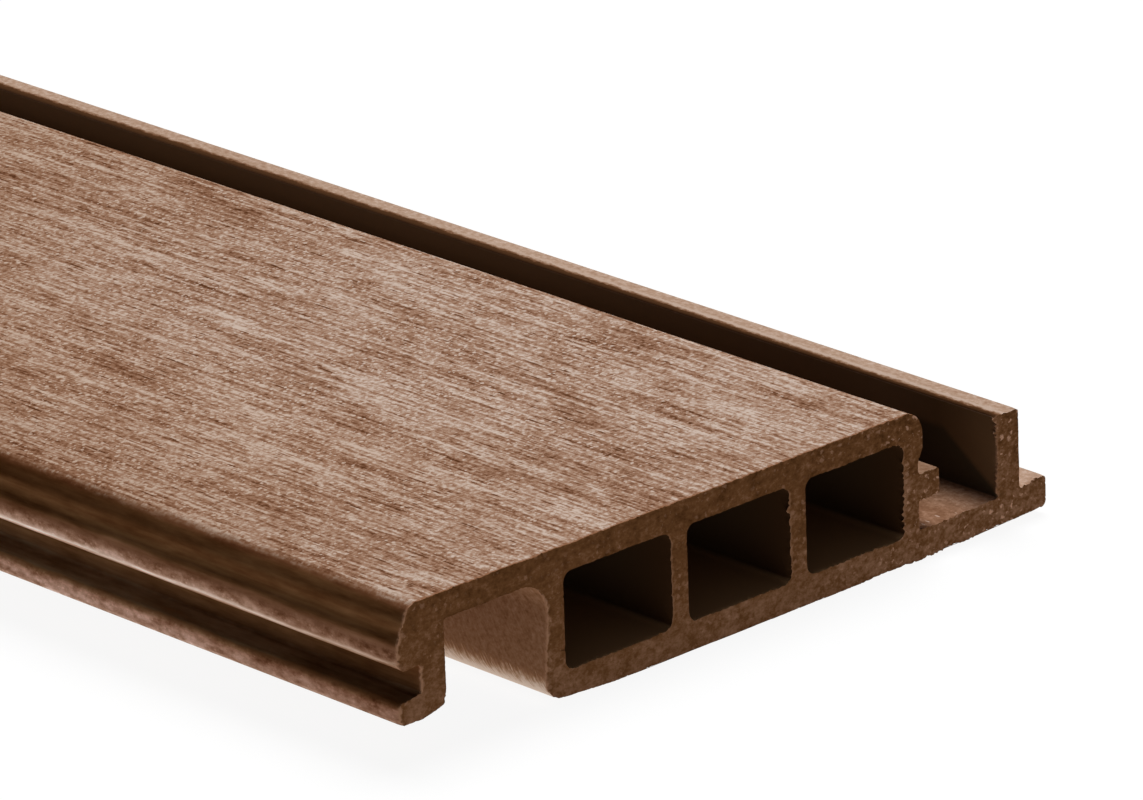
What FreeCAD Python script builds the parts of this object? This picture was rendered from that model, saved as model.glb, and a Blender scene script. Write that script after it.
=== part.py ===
import FreeCAD, Part
import math
import os

# Hollow decking board of wood-plastic composite, extruded in one piece.
# A wear face is carried by a box of three chambers. One edge is a hooked leg with a groove. The
# other has a tongue over a fixing flange with an upstand. The next board's leg drops into the
# channel between tongue and upstand, its groove slides over the tongue, and the upstand stands in
# the recess behind that leg.
# Lengths are in millimetres. +X runs along the board and +Z up through the wear face. Section
# widths count from the hooked edge towards the flange, which is +Y. The origin is on the
# underside, at the middle of the board's length and width.

# Board
length = 2200.0
thickness = 25.4

# Box of chambers
face_skin = 4.5
base_skin = 4.8
groove_side_wall = 3.2
tongue_side_wall = 3.35
web = 3.5
chamber_widths = (22.7, 22.2, 21.6)
chamber_radius = 1.7

# Hooked leg
groove_depth = 4.7
groove_height = 4.95
groove_mouth_radius = 1.8
leg_thickness = 5.05
lip_height = 3.9
lip_slope = 0.4
lip_radius = 1.2
lip_lead_in = 1.0
lip_lead_in_width = 0.75
toe_radius = 1.6
bevel_width = 2.5
bevel_height = 6.3
bevel_radius = 5.0
brow_radius = 3.0

# Recess behind the leg
recess_width = 21.45
recess_radius = 5.2
recess_draft = 1.3

# Tongue and nose
tongue_reach = 4.65
tongue_clearance = 0.35
nose_reach = 1.1
nose_height = 6.2
nose_radius = 4.0
nose_run_in = 2.2
nose_run_in_radius = 2.2

# Fixing flange
flange_thickness = 4.7
channel_width = 13.2
upstand_thickness = 4.9
upstand_clearance = 1.6
lip_clearance = 1.4
tip_length = 6.0
tip_thickening = 0.8
tip_radius = 0.8
flange_rise = 0.95
flange_run_in = 14.0

# Underside
heel_rise = 1.0
heel_run = 13.0

# Edge roundings
arris_radius = 0.5
root_radius = 0.6
shoulder_radius = 1.1
heel_radius = 3.4
easing_radius = 60.0

# Share of a straight edge that the roundings at its two ends may take up
rounded_share = 0.96

# Widths across the section, counted from the hooked edge
leg_back = groove_depth + leg_thickness
box_start = leg_back + recess_width
chambers_start = box_start + groove_side_wall
chambers_end = chambers_start + sum(chamber_widths) + web * (len(chamber_widths) - 1)
box_end = chambers_end + tongue_side_wall
rise_start = box_end - flange_run_in
tongue_tip = box_end + tongue_reach
upstand_inner = tongue_tip + channel_width
upstand_outer = upstand_inner + upstand_thickness
overall_width = upstand_outer + tip_length

# Heights in the section, counted from the underside
recess_ceiling = thickness - face_skin
lip_bottom = flange_thickness + lip_clearance
lip_top = lip_bottom + lip_height
groove_top = lip_top + groove_height
upstand_top = recess_ceiling - upstand_clearance


def flange_lift(width):
    """Height by which the flange, which rises towards its tip, stands above the box's underside."""
    return flange_rise * (width - rise_start) / (overall_width - rise_start)


def hooked_edge():
    """Corners from the wear face down the bevel, round the groove and the lip, to the leg's back."""
    return [
        (bevel_width, thickness, brow_radius),
        (0.0, thickness - bevel_height, bevel_radius),
        (0.0, groove_top, groove_mouth_radius),
        (groove_depth, groove_top, root_radius),
        (groove_depth, lip_top + lip_slope / 2, root_radius),
        (0.0, lip_top - lip_slope / 2, lip_radius),
        (0.0, lip_bottom + lip_lead_in, arris_radius),
        (lip_lead_in_width, lip_bottom, arris_radius),
        (groove_depth, lip_bottom, shoulder_radius),
        (leg_back, lip_bottom + lip_lead_in, toe_radius),
    ]


def recess():
    """Corners from the leg's back across the ceiling and down the box's side, which has a draft."""
    return [
        (leg_back, recess_ceiling, root_radius),
        (box_start, recess_ceiling, recess_radius),
        (box_start - recess_draft, heel_rise, heel_radius),
    ]


def underside():
    """Corners of the flat underside, which eases upwards at the heel and towards the flange."""
    return [
        (box_start + heel_run, 0.0, easing_radius),
        (rise_start, 0.0, easing_radius),
    ]


def flange():
    """Corners round the flange's tip and upstand, back to the foot of the box."""
    upstand_foot = flange_thickness + flange_lift(upstand_outer)
    tip_top = flange_thickness + flange_rise + tip_thickening
    return [
        (overall_width, flange_rise, shoulder_radius),
        (overall_width, tip_top, tip_radius),
        (upstand_outer, upstand_foot, root_radius),
        (upstand_outer, upstand_top, arris_radius),
        (upstand_inner, upstand_top, arris_radius),
        (upstand_inner, flange_thickness + flange_lift(upstand_inner), root_radius),
        (box_end, flange_thickness + flange_lift(box_end), root_radius),
    ]


def tongue_and_nose():
    """Corners round the tongue, whose sizes follow the groove, and up the nose to the wear face."""
    tongue_bottom = lip_top + tongue_clearance
    tongue_top = groove_top - tongue_clearance
    nose_bottom = thickness - nose_height
    return [
        (box_end, tongue_bottom, root_radius),
        (tongue_tip, tongue_bottom, arris_radius),
        (tongue_tip, tongue_top, arris_radius),
        (box_end, tongue_top, root_radius),
        (box_end, nose_bottom - nose_run_in, nose_run_in_radius),
        (box_end + nose_reach, nose_bottom, nose_run_in_radius),
        (box_end + nose_reach, thickness, nose_radius),
    ]


def chamber(start, width):
    """Corners of one chamber."""
    ceiling = thickness - face_skin
    return [
        (start, base_skin, chamber_radius),
        (start + width, base_skin, chamber_radius),
        (start + width, ceiling, chamber_radius),
        (start, ceiling, chamber_radius),
    ]


def corner_tangents(points, radii):
    """Distance from each corner at which its rounding starts, shortened where an edge is too short."""
    count = len(points)
    tangents = []
    for i, here in enumerate(points):
        turn = (here - points[i - 1]).getAngle(points[(i + 1) % count] - here)
        tangents.append(radii[i] * math.tan(turn / 2))
    shares = [1.0] * count
    for i in range(count):
        following = (i + 1) % count
        room = rounded_share * (points[following] - points[i]).Length
        wanted = tangents[i] + tangents[following]
        share = min(1.0, room / wanted)
        shares[i] = min(shares[i], share)
        shares[following] = min(shares[following], share)
    return [tangent * share for tangent, share in zip(tangents, shares)]


def rounded_wire(corners):
    """Closed wire through the corners (width, height, radius), with straight runs and tangent arcs."""
    points = [FreeCAD.Vector(0, y - overall_width / 2, z) for y, z, _ in corners]
    tangents = corner_tangents(points, [radius for _, _, radius in corners])
    count = len(points)
    arcs = []
    for i, here in enumerate(points):
        back = (points[i - 1] - here).normalize()
        ahead = (points[(i + 1) % count] - here).normalize()
        half_turn = (math.pi - back.getAngle(ahead)) / 2
        radius = tangents[i] / math.tan(half_turn)
        inward = (back + ahead).normalize()
        middle = here + inward * (radius / math.cos(half_turn) - radius)
        arcs.append((here + back * tangents[i], middle, here + ahead * tangents[i]))
    edges = []
    for i, (start, middle, end) in enumerate(arcs):
        edges.append(Part.Arc(start, middle, end).toShape())
        edges.append(Part.LineSegment(end, arcs[(i + 1) % count][0]).toShape())
    return Part.Wire(edges)


def section():
    """Face of the board's section, with its chambers cut out."""
    outline = hooked_edge() + recess() + underside() + flange() + tongue_and_nose()
    face = Part.Face(rounded_wire(outline))
    start = chambers_start
    for width in chamber_widths:
        face = face.cut(Part.Face(rounded_wire(chamber(start, width))))
        start += width + web
    return face.Faces[0]


def decking_board():
    """The whole board: its section, extruded along its length."""
    board = section().extrude(FreeCAD.Vector(length, 0, 0))
    board.translate(FreeCAD.Vector(-length / 2, 0, 0))
    return board


os.makedirs("parts", exist_ok=True)
board = decking_board()
board.exportStep("parts/decking_board.step")
box = board.BoundBox
print("overall", round(box.XLength, 2), round(box.YLength, 2), round(box.ZLength, 2))
print("section area", round(board.Volume / length, 1), "valid", board.isValid(), board.ShapeType)
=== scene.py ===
import math

import bmesh
import bpy
import numpy as np
from mathutils import Matrix, Vector
from mathutils.geometry import delaunay_2d_cdt


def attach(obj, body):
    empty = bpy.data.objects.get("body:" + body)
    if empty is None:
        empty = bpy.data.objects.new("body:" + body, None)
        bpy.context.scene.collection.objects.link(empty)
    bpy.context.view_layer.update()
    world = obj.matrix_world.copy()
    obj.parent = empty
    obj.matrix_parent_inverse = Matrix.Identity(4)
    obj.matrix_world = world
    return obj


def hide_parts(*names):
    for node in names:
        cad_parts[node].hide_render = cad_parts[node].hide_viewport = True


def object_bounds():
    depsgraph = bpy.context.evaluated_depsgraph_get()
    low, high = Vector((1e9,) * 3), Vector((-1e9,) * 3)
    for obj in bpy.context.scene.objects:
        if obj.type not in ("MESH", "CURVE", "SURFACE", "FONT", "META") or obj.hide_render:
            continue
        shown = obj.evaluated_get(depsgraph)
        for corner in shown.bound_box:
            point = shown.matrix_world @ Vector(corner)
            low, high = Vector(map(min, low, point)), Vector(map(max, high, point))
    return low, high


# Looks of a hollow decking board of wood-plastic composite: a brushed wear face, smooth extruded
# sides and sawn ends. The board's section comes from the frame. Everything is in metres, with the
# board along X, its hooked edge towards -Y and its wear face up.

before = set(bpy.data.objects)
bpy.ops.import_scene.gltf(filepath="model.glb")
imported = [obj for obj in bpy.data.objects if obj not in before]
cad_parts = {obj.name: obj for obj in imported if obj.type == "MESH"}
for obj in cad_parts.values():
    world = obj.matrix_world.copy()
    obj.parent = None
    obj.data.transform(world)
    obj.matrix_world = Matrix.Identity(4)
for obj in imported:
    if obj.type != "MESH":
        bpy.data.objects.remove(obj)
cad_low, cad_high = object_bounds()

MM = 0.001
BOARD = "decking_board"

# Mesh of the board
COLUMN_PITCH = 1.0 * MM           # across the brushed face
SIDE_PITCH = 4.0 * MM             # across plain faces
THINNING = 0.02 * MM              # how far a dropped point of the section may lie off it
STATION_STEP = (1.6 * MM, 9.0 * MM)   # along the board, beside an end and in mid-length
STATION_GROWTH = 0.03             # step gained per length away from an end
SIDE_STATIONS = 3                 # the plain faces have every third station
SAWN_ZONE = (2.4 * MM, 1.2 * MM, 0.5 * MM, 0.15 * MM, 0.0)   # rings before the saw cut
SAWN_PITCH = 0.3 * MM             # round the section in those rings
CAP_PITCH = 1.3 * MM              # over the sawn face
BRUSHED_BAND = (24.3 * MM, 25.2 * MM)   # heights between which the brushing sets in


def smoothstep(value, low, high):
    """0 below low, 1 above high, and a smooth rise between."""
    share = np.clip((np.asarray(value, float) - low) / (high - low), 0.0, 1.0)
    return share * share * (3.0 - 2.0 * share)


def signed_area(loop):
    """Area inside a closed loop of (y, z) points, positive if it runs anticlockwise."""
    after = np.roll(loop, -1, axis=0)
    return 0.5 * float(np.sum(loop[:, 0] * after[:, 1] - after[:, 0] * loop[:, 1]))


def section_loops(node):
    """Closed loops of (y, z) round the solid's end: its outline, then its chambers from -Y to +Y.
    The outline runs anticlockwise and the chambers clockwise, so the stock is always on the left."""
    shape = bmesh.new()
    shape.from_mesh(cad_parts[node].data)
    bmesh.ops.remove_doubles(shape, verts=shape.verts, dist=1e-6)
    shape.normal_update()
    beside = {}
    for edge in shape.edges:
        ends = [f for f in edge.link_faces if f.normal.x > 0.9]
        if len(ends) == 1:
            first, second = edge.verts
            beside.setdefault(first, []).append(second)
            beside.setdefault(second, []).append(first)
    loops = []
    while beside:
        start = next(iter(beside))
        chain, here = [start], start
        while True:
            onward = [v for v in beside.pop(here) if v in beside]
            if not onward:
                break
            here = onward[0]
            chain.append(here)
        loops.append(np.array([(v.co.y, v.co.z) for v in chain]))
    shape.free()
    loops.sort(key=lambda loop: -abs(signed_area(loop)))
    outline, chambers = loops[0], sorted(loops[1:], key=lambda loop: loop[:, 0].mean())
    if signed_area(outline) < 0:
        outline = outline[::-1]
    chambers = [c if signed_area(c) < 0 else c[::-1] for c in chambers]
    return [outline] + chambers


def thinned(loop, tolerance):
    """The loop without points that lie within tolerance of the line between those kept."""
    kept, start = [0], 0
    count = len(loop)
    while start < count:
        reach = start + 1
        while reach < count:
            ahead = loop[(reach + 1) % count] - loop[start]
            run = max(float(np.hypot(*ahead)), 1e-12)
            between = loop[start + 1:reach + 1] - loop[start]
            off = np.abs(between[:, 0] * ahead[1] - between[:, 1] * ahead[0]) / run
            if off.max() > tolerance:
                break
            reach += 1
        if reach < count:
            kept.append(reach)
        start = reach
    return loop[kept]


def divided(loop, pitch_at):
    """The loop with its edges divided, so that no step is longer than pitch_at(edge's middle)."""
    points = []
    for here, ahead in zip(loop, np.roll(loop, -1, axis=0)):
        run = float(np.hypot(*(ahead - here)))
        steps = max(1, math.ceil(run / pitch_at((here + ahead) / 2) - 1e-9))
        points += [here + (ahead - here) * i / steps for i in range(steps)]
    return np.array(points)


def outward(loop):
    """Unit normals of a closed loop, away from the stock."""
    along = np.roll(loop, -1, axis=0) - np.roll(loop, 1, axis=0)
    along /= np.maximum(np.hypot(along[:, 0], along[:, 1]), 1e-12)[:, None]
    return np.stack([along[:, 1], -along[:, 0]], 1)


def is_brushed(middle):
    return middle[1] > BRUSHED_BAND[1]


def stations():
    """Places along the board from one sawn zone to the other, close together beside the ends."""
    half = (cad_high.x - cad_low.x) / 2 - SAWN_ZONE[0]
    steps, reach = [], 0.0
    while reach < half:
        step = min(STATION_STEP[1], STATION_STEP[0] + STATION_GROWTH * reach)
        steps.append(step)
        reach += step
    from_end = np.concatenate([[0.0], np.cumsum(steps)]) * half / reach
    from_end = from_end[: len(from_end) // (2 * SIDE_STATIONS) * 2 * SIDE_STATIONS + 1]
    from_end *= half / from_end[-1]
    middle = (cad_high.x + cad_low.x) / 2
    left = middle - half + from_end
    right = middle + half - from_end[::-1]
    return np.concatenate([left, right[1:]])


class Stock:
    """Gathers the board's points and faces."""

    def __init__(self):
        self.points, self.faces = [], []
        self.normals, self.brushed, self.sawn = [], [], []
        self.cap, self.chamber, self.in_chamber = [], [], False

    def add(self, x, y, z, normal, sawn=0.0):
        self.points.append((x, y, z))
        self.normals.append((0.0, normal[0], normal[1]))
        self.brushed.append(float(smoothstep(z, *BRUSHED_BAND)))
        self.sawn.append(sawn)
        return len(self.points) - 1

    def face(self, corners, cap=False):
        self.faces.append(corners)
        self.cap.append(cap)
        self.chamber.append(self.in_chamber and not cap)

    def lace(self, first, first_at, second, second_at):
        """Faces between two rows of points, each with its places along the row, which may differ.
        A face's normal is the row's direction times the way from the first row to the second."""
        i = k = 0
        while i < len(first) - 1 or k < len(second) - 1:
            next_i = first_at[i + 1] if i < len(first) - 1 else math.inf
            next_k = second_at[k + 1] if k < len(second) - 1 else math.inf
            if abs(next_i - next_k) < 1e-9:
                self.face((first[i], first[i + 1], second[k + 1], second[k]))
                i, k = i + 1, k + 1
            elif next_i < next_k:
                self.face((first[i], first[i + 1], second[k]))
                i += 1
            else:
                self.face((first[i], second[k + 1], second[k]))
                k += 1


def run_lengths(loop):
    """Length along a closed loop at each point, and once more at its end."""
    steps = np.hypot(*(np.roll(loop, -1, axis=0) - loop).T)
    return np.concatenate([[0.0], np.cumsum(steps)])


def sawn_rings(stock, ring, coarse, side):
    """Adds the sawn zone's rings at one end, from the ring of columns, and returns the last one."""
    fine = divided(coarse, lambda middle: SAWN_PITCH)
    normals = outward(fine)
    row, row_at = ring + ring[:1], run_lengths(coarse)
    fine_at = run_lengths(fine)
    end = cad_high.x if side > 0 else cad_low.x
    for depth in SAWN_ZONE[1:]:
        sawn = float(smoothstep(-depth, -SAWN_ZONE[1], 0.0))
        fresh = [stock.add(end - side * depth, y, z, n, sawn) for (y, z), n in zip(fine, normals)]
        closed = fresh + fresh[:1]
        if side > 0:
            stock.lace(row, row_at, closed, fine_at)
        else:
            stock.lace(closed, fine_at, row, row_at)
        row, row_at = closed, fine_at
    return fresh, fine


def inside(point, loops):
    """Whether a point lies in the stock, by counting the loops' edges above it."""
    crossings = 0
    for loop in loops:
        after = np.roll(loop, -1, axis=0)
        spans = (loop[:, 0] > point[0]) != (after[:, 0] > point[0])
        here, ahead = loop[spans], after[spans]
        slope = (ahead[:, 1] - here[:, 1]) / (ahead[:, 0] - here[:, 0])
        height = here[:, 1] + (point[0] - here[:, 0]) * slope
        crossings += int((height > point[1]).sum())
    return crossings % 2 == 1


def cap_mesh(loops):
    """Points inside the sawn face, and the triangles that fill it, by index into loops then them."""
    low, high = loops[0].min(axis=0), loops[0].max(axis=0)
    rims = np.concatenate(loops)
    extra = []
    row = 0
    z = low[1] + CAP_PITCH / 2
    while z < high[1]:
        y = low[0] + CAP_PITCH * (0.5 if row % 2 else 1.0)
        while y < high[0]:
            point = np.array((y, z))
            clear = np.hypot(*(rims - point).T).min() > 0.55 * CAP_PITCH
            if clear and inside(point, loops):
                extra.append(point)
            y += CAP_PITCH
        z += CAP_PITCH * math.sqrt(0.75)
        row += 1
    points = np.concatenate([rims, np.array(extra)]) / MM
    edges, start = [], 0
    for loop in loops:
        count = len(loop)
        edges += [(start + i, start + (i + 1) % count) for i in range(count)]
        start += count
    made = delaunay_2d_cdt([Vector(p) for p in points], edges, [], 0, 1e-5)
    places, faces, origin = made[0], made[2], made[3]
    source = [o[0] for o in origin]
    kept = []
    for face in faces:
        middle = sum((places[i] for i in face), Vector((0, 0))) / len(face) * MM
        if inside(np.array(middle), loops):
            kept.append([source[i] for i in face])
    return np.array(extra), kept


def board_stock():
    """The whole board as a closed mesh with columns of points along it and finely divided ends."""
    stock = Stock()
    places = stations()
    plain_places = places[::SIDE_STATIONS]
    outline, *chambers = [thinned(loop, THINNING) for loop in section_loops(BOARD)]
    rings = {1: [], -1: []}
    for number, loop in enumerate([outline] + chambers):
        stock.in_chamber = number > 0
        coarse = divided(loop, lambda m: COLUMN_PITCH if number == 0 and is_brushed(m) else SIDE_PITCH)
        normals = outward(coarse)
        count = len(coarse)
        high = coarse[:, 1] > BRUSHED_BAND[0]
        close = [number == 0 and (high[i] or high[i - 1] or high[(i + 1) % count]) for i in range(count)]
        columns = []
        for (y, z), normal, dense in zip(coarse, normals, close):
            at = places if dense else plain_places
            columns.append(([stock.add(x, y, z, normal) for x in at], at))
        for (here, here_at), (ahead, ahead_at) in zip(columns, columns[1:] + columns[:1]):
            stock.lace(ahead, ahead_at, here, here_at)
        for side in rings:
            ring = [column[-1 if side > 0 else 0] for column, _ in columns]
            rings[side].append(sawn_rings(stock, ring, coarse, side))
    for side, made in rings.items():
        rims = [i for indices, _ in made for i in indices]
        extra, faces = cap_mesh([fine for _, fine in made])
        end = cad_high.x if side > 0 else cad_low.x
        indices = rims + [stock.add(end, y, z, (0.0, 0.0)) for y, z in extra]
        for face in faces:
            corners = [indices[i] for i in face]
            stock.face(corners if side > 0 else corners[::-1], cap=True)
    return stock


def stock_object(stock):
    """The stock as an object, with its attributes for the finishing nodes."""
    mesh = bpy.data.meshes.new("composite_board")
    mesh.from_pydata(stock.points, [], stock.faces)
    for name, kind, domain, values in (
        ("outward", "FLOAT_VECTOR", "POINT", np.array(stock.normals)),
        ("brushed", "FLOAT", "POINT", np.array(stock.brushed)),
        ("sawn", "FLOAT", "POINT", np.array(stock.sawn)),
        ("cap", "BOOLEAN", "FACE", np.array(stock.cap)),
        ("chamber", "BOOLEAN", "FACE", np.array(stock.chamber)),
    ):
        attribute = mesh.attributes.new(name, kind, domain)
        key = "vector" if kind == "FLOAT_VECTOR" else "value"
        attribute.data.foreach_set(key, values.astype(bool if kind == "BOOLEAN" else np.float32).ravel())
    made = bpy.data.objects.new("composite_board", mesh)
    bpy.context.scene.collection.objects.link(made)
    return made


class Tree:
    """Short calls that add nodes to a node tree and link them."""

    def __init__(self, tree):
        self.tree = tree

    def node(self, kind, settings=(), **inputs):
        made = self.tree.nodes.new(kind)
        for name, value in dict(settings).items():
            setattr(made, name, value)
        for name, value in inputs.items():
            self.feed(made.inputs[name.replace("_", " ")], value)
        return made

    def feed(self, socket, value):
        if isinstance(value, bpy.types.NodeSocket):
            self.tree.links.new(value, socket)
        else:
            socket.default_value = value

    def math(self, operation, first, second=0.0, third=0.0, clamp=False):
        made = self.tree.nodes.new("ShaderNodeMath")
        made.operation, made.use_clamp = operation, clamp
        for socket, value in zip(made.inputs, (first, second, third)):
            self.feed(socket, value)
        return made.outputs[0]

    def vector(self, operation, first, second=None, scale=None):
        made = self.tree.nodes.new("ShaderNodeVectorMath")
        made.operation = operation
        self.feed(made.inputs[0], first)
        if second is not None:
            self.feed(made.inputs[1], second)
        if scale is not None:
            self.feed(made.inputs["Scale"], scale)
        return made.outputs["Value" if operation in ("LENGTH", "DOT_PRODUCT", "DISTANCE") else "Vector"]

    def ramp(self, value, low, high, to_low=0.0, to_high=1.0, smooth=True):
        """value from low..high to to_low..to_high, held at both ends."""
        made = self.tree.nodes.new("ShaderNodeMapRange")
        made.interpolation_type = "SMOOTHSTEP" if smooth else "LINEAR"
        for socket, number in zip(made.inputs, (value, low, high, to_low, to_high)):
            self.feed(socket, number)
        return made.outputs[0]

    def band(self, value, rise, fall):
        """1 between the two edges, each given as its (start, stop), and 0 outside them."""
        return self.math("MULTIPLY", self.ramp(value, *rise), self.ramp(value, *fall, 1.0, 0.0))

    def weighed(self, middle, *layers):
        """middle, plus each layer's departure from 0.5 times its weight."""
        total = middle - sum(weight for _, weight in layers) / 2
        for layer, weight in layers:
            total = self.math("MULTIPLY_ADD", layer, weight, total)
        return total

    def noise(self, place, size, detail=2.0, roughness=0.5, shift=0.0):
        """Noise from 0 to 1 whose features are about size = (x, y, z) metres large."""
        scaled = self.vector("DIVIDE", place, size)
        moved = self.vector("ADD", scaled, (shift, shift * 0.7, shift * 1.3))
        made = self.tree.nodes.new("ShaderNodeTexNoise")
        made.noise_dimensions = "3D"
        self.feed(made.inputs["Vector"], moved)
        for name, number in (("Scale", 1.0), ("Detail", detail), ("Roughness", roughness)):
            made.inputs[name].default_value = number
        return made.outputs[0]

    def dashes(self, place, cell, low, high, share=1.0, shift=0.0):
        """Long spots, one in a cell = (x, y) metres, in a share of the cells: 1 inside low, 0 past high."""
        scaled = self.vector("DIVIDE", place, (cell[0], cell[1], 1.0))
        moved = self.vector("ADD", scaled, (shift, shift * 0.7, 0.0))
        made = self.tree.nodes.new("ShaderNodeTexVoronoi")
        made.voronoi_dimensions = "2D"
        self.feed(made.inputs["Vector"], moved)
        made.inputs["Scale"].default_value = 1.0
        chance = self.node("ShaderNodeSeparateColor", Color=made.outputs["Color"]).outputs[0]
        size = self.ramp(chance, 0.0, share, 1.0, 0.0, smooth=False)
        away = self.math("DIVIDE", made.outputs["Distance"], self.math("MAXIMUM", size, 0.01))
        spot = self.ramp(away, low, high, 1.0, 0.0)
        return self.math("MULTIPLY", spot, self.ramp(size, 0.0, 0.25))

    def mix(self, factor, first, second):
        """Colour from first to second."""
        made = self.tree.nodes.new("ShaderNodeMix")
        made.data_type = "RGBA"
        self.feed(made.inputs[0], factor)
        self.feed(made.inputs[6], first)
        self.feed(made.inputs[7], second)
        return made.outputs[2]

    def by_channel(self, level, powers):
        """A level for each of red, green and blue, raised to the channel's power."""
        parts = [level if power == 1.0 else self.math("POWER", level, power) for power in powers]
        return self.node("ShaderNodeCombineXYZ", X=parts[0], Y=parts[1], Z=parts[2]).outputs[0]

    def scaled(self, colour, level):
        """Colour made lighter or darker by a level, warmer where darker as the composite is."""
        return self.vector("MULTIPLY", colour, self.by_channel(level, SHADE_POWERS))

    def blend(self, factor, first, second, powers):
        """Colour from a dark first to a pale second, warm in between as the composite's own tones."""
        made = self.tree.nodes.new("ShaderNodeMix")
        made.data_type, made.factor_mode = "VECTOR", "NON_UNIFORM"
        self.feed(made.inputs[1], self.by_channel(factor, powers))
        for socket, colour in zip(made.inputs[4:6], (first, second)):
            self.feed(socket, colour[:3] if isinstance(colour, tuple) else colour)
        return made.outputs[1]

    def colours(self, value, stops):
        """Colour ramp with (place, colour) stops."""
        made = self.tree.nodes.new("ShaderNodeValToRGB")
        self.feed(made.inputs[0], value)
        elements = made.color_ramp.elements
        while len(elements) < len(stops):
            elements.new(0.5)
        for element, (place, colour) in zip(elements, stops):
            element.position, element.color = place, colour
        return made.outputs[0]


def linear(red, green, blue):
    """A colour given as 0 to 255 screen values, as the linear values that shaders take."""
    def one(value):
        share = value / 255
        return share / 12.92 if share <= 0.04045 else ((share + 0.055) / 1.055) ** 2.4
    return (one(red), one(green), one(blue), 1.0)


# How much faster green and blue change than red between the composite's dark and pale tones
SHADE_POWERS = (1.0, 1.3, 1.6)
EDGE_POWERS = (1.0, 1.25, 1.5)
BROW_POWERS = (1.0, 1.1, 1.2)

# Tones of the composite, from dark to pale unless they follow a height; some of them also paint light and
# shade on it
# The wear face's pale tones are partly painted sheen, since the shader has no specular gloss.
WEAR_FACE_TONES = (
    (0.00, linear(88, 54, 33)), (0.16, linear(109, 72, 50)), (0.31, linear(131, 93, 71)),
    (0.45, linear(148, 111, 88)), (0.55, linear(160, 125, 103)), (0.66, linear(171, 139, 118)),
    (0.76, linear(181, 153, 135)), (0.88, linear(193, 170, 155)), (1.00, linear(206, 186, 172)),
)
RIM_TONE = linear(142, 98, 70)          # the wear face where the saw has torn its rim
# Painted shade: the next tint darkens the wear face away from its sawn ends.
FAR_SHADE_TINT = (0.86, 0.79, 0.72, 1.0)     # the wear face away from its sawn ends, against beside them
HOOK_SIDE_TINTS = (                     # and from the hooked edge to its middle
    (0.00, (0.80, 0.72, 0.65, 1.0)), (0.25, (0.91, 0.86, 0.81, 1.0)),
    (0.60, (0.94, 0.90, 0.86, 1.0)), (1.00, (1.00, 1.00, 1.00, 1.0)),
)
PLAIN_TINT = (1.0, 1.0, 1.0, 1.0)
SHADED_TINT = (0.40, 0.35, 0.27, 1.0)   # the channel's floor farther in, against its mouth
EXTRUDED_TONES = (
    (0.25, linear(138, 98, 72)), (0.50, linear(156, 118, 92)), (0.75, linear(176, 143, 120)),
)
LEDGE_TONES = (
    (0.30, linear(156, 121, 98)), (0.50, linear(180, 150, 129)), (0.70, linear(206, 182, 166)),
)
CHANNEL_TONES = (
    (0.25, linear(112, 76, 54)), (0.50, linear(137, 99, 75)), (0.75, linear(168, 131, 107)),
)
HOOK_HEIGHTS = (5.0 * MM, 25.0 * MM)    # the hooked edge's tones follow the height, from its lip up
# Painted light and shade on the hooked edge, on top of its lighting: dark bands on the bevel and in the
# groove, a near-white painted highlight along the bulge's lower arris, and a paler lip that stands in for
# light from the floor.
HOOK_LIGHT_AND_SHADE_TONES = (
    (0.065, linear(200, 162, 140)), (0.100, linear(187, 143, 120)), (0.150, linear(194, 147, 123)),
    (0.180, linear(185, 135, 109)), (0.205, linear(154, 108, 77)), (0.230, linear(136, 96, 62)),
    (0.243, linear(124, 99, 71)), (0.254, linear(137, 112, 85)), (0.266, linear(135, 108, 80)),
    (0.280, linear(119, 84, 54)), (0.480, linear(118, 75, 44)), (0.515, linear(183, 137, 110)),
    (0.532, linear(212, 172, 147)), (0.550, linear(255, 226, 206)), (0.562, linear(247, 213, 192)),
    (0.580, linear(202, 159, 134)), (0.600, linear(178, 134, 109)), (0.625, linear(163, 118, 92)),
    (0.660, linear(145, 101, 76)), (0.700, linear(133, 90, 62)), (0.725, linear(98, 65, 38)),
    (0.750, linear(86, 57, 34)), (0.780, linear(98, 66, 39)), (0.835, linear(116, 76, 46)),
    (0.865, linear(110, 72, 43)), (0.900, linear(95, 63, 37)), (0.960, linear(95, 62, 36)),
    (0.990, linear(102, 64, 41)),
)
# Painted shade and light in the chambers: near black at the mouth, painted lighter deeper in where little
# light reaches, and a paler floor.
CHAMBER_MOUTH_SHADE_TONE = linear(70, 46, 28)
CHAMBER_DEPTH_LIGHT_TONE = linear(148, 122, 88)
CHAMBER_FLOOR_LIGHT_TONE = linear(176, 136, 98)
CHAMBER_FLOOR = 4.8 * MM
UPSTAND_INNER_FACE = 59.1 * MM
BURR_TONE = linear(214, 190, 174)
# Painted light and shade on the upstand's inner wall, which lies in the channel's shade: painted lighter
# farther in and towards its top, and a painted shadow of the nose below a slanting line.
NEAR_WALL_TONES = (                     # the upstand's inner wall, from the sawn end inwards
    (0.15, linear(101, 74, 50)), (0.45, linear(90, 67, 46)), (0.85, linear(110, 87, 66)),
)
HIGH_WALL_TONE = linear(150, 125, 98)   # and farther in, at its top
LOW_WALL_TONE = linear(106, 87, 65)
NOSE_SHADOW_TONE = linear(66, 54, 40)
# Painted shade on the upstand's rounded inner edge, and a painted highlight along its top just past that
# edge.
UPSTAND_EDGE_SHADE_TONE = linear(80, 52, 32)
CREST_HIGHLIGHT_TONE = linear(196, 171, 154)
RECESS_TONES = (
    (0.30, linear(122, 82, 52)), (0.50, linear(152, 110, 80)), (0.70, linear(172, 130, 102)),
)
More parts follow.
